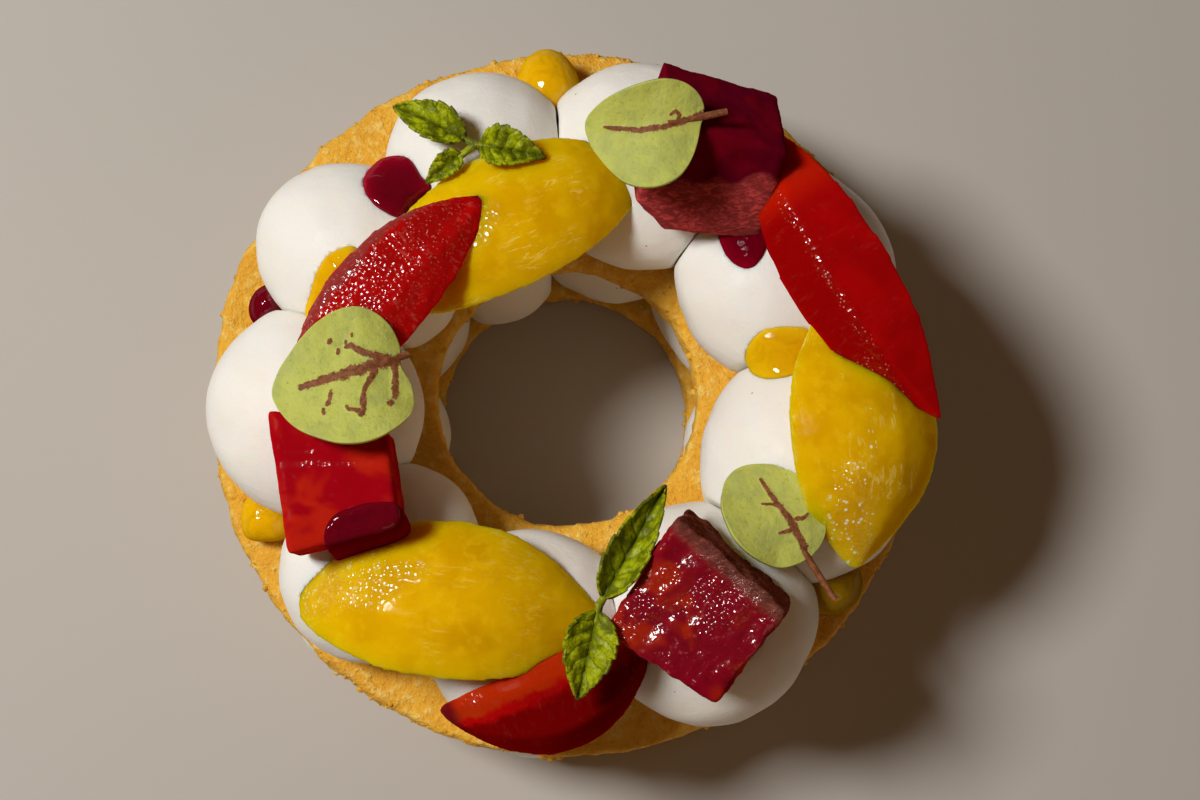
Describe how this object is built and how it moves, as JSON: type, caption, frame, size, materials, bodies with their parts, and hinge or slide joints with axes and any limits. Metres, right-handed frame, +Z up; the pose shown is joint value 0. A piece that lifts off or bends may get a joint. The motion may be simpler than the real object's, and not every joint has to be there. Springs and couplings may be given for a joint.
{
  "type": "fruit tart",
  "caption": "Ring-shaped fruit tart: piped cream domes between and on top of crisp biscuit rings, with fruit wedges, fruit cubes, leaves and drops of gel.",
  "frame": {"origin": "on the ring's axis, at the underside of the lower biscuit ring", "axes": "+Z up; +Y points away from the viewer of the picture, +X to the viewer's right"},
  "size_m": [0.111, 0.111, 0.0664],
  "materials": {
    "biscuit": "matt, sandy and crumbly",
    "cream": "satin",
    "yellow_fruit": "wet gloss",
    "red_fruit": "wet gloss",
    "wine_fruit": "wet gloss",
    "yellow_gel": "gloss",
    "red_gel": "gloss",
    "round_leaf": "satin",
    "mint": "satin, crinkled"
  },
  "bodies": {
    "root": {"lower_biscuit": "biscuit", "upper_biscuit": "biscuit", "lower_cream_1": "cream", "lower_cream_2": "cream", "lower_cream_3": "cream", "lower_cream_4": "cream", "lower_cream_5": "cream", "lower_cream_6": "cream", "lower_cream_7": "cream", "lower_cream_8": "cream", "lower_cream_9": "cream", "upper_cream_1": "cream", "upper_cream_2": "cream", "upper_cream_3": "cream", "upper_cream_4": "cream", "upper_cream_5": "cream", "upper_cream_6": "cream", "upper_cream_7": "cream", "upper_cream_8": "cream", "upper_cream_9": "cream", "red_cube_1": "wine_fruit", "red_cube_2": "wine_fruit", "red_cube_3": "wine_fruit", "red_wedge_1": "red_fruit", "red_wedge_2": "red_fruit", "red_wedge_3": "red_fruit", "yellow_wedge_1": "yellow_fruit", "yellow_wedge_2": "yellow_fruit", "yellow_wedge_3": "yellow_fruit", "yellow_gel_1": "yellow_gel", "yellow_gel_2": "yellow_gel", "yellow_gel_3": "yellow_gel", "yellow_gel_4": "yellow_gel", "yellow_gel_5": "yellow_gel", "red_gel_1": "red_gel", "red_gel_2": "red_gel", "red_gel_3": "red_gel", "red_gel_4": "red_gel", "round_leaf_1": "round_leaf", "round_leaf_2": "round_leaf", "round_leaf_3": "round_leaf", "mint_sprig_1": "mint", "mint_sprig_2": "mint"}
  },
  "joints": []
}
